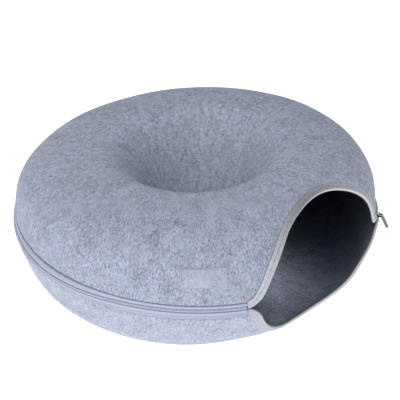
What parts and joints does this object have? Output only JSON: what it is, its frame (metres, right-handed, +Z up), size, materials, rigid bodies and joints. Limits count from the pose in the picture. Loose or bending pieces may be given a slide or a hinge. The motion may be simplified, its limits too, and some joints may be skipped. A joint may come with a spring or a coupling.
{
  "type": "donut cat tunnel",
  "caption": "Round felt tunnel for a cat: a domed ring with a sunken middle zipped to a flat-bottomed pan, with one bound arched mouth at the side.",
  "frame": {"origin": "on the axis of the zip ring, at the flat bottom that rests on the floor", "axes": "+Z up, the mouth faces -Y, and +X is to the right of someone who looks into the mouth"},
  "size_m": [0.6134, 0.5866, 0.2183],
  "materials": {
    "upper_felt": "matt heathered felt, blue-grey",
    "lower_felt": "matt heathered felt, pale blue-grey",
    "upper_binding": "folded woven tape, warm grey, stitched",
    "lower_binding": "folded woven tape, pale pinkish grey, stitched",
    "upper_tape": "woven zip tape, grey",
    "lower_tape": "woven zip tape, pale grey, stitched",
    "zip_teeth": "nylon coil teeth, grey",
    "patch": "bare sewn patch",
    "slider_metal": "dark painted metal",
    "pull_metal": "dark bronze metal"
  },
  "bodies": {
    "root": {"upper_shell": "upper_felt", "lower_shell": "lower_felt", "mouth_binding_upper": "upper_binding", "mouth_binding_lower": "lower_binding", "zip_tape_upper": "upper_tape", "zip_tape_lower": "lower_tape", "zip_chain": "zip_teeth", "label_patch": "patch", "zip_slider": "slider_metal", "zip_pull": "pull_metal"}
  },
  "joints": []
}
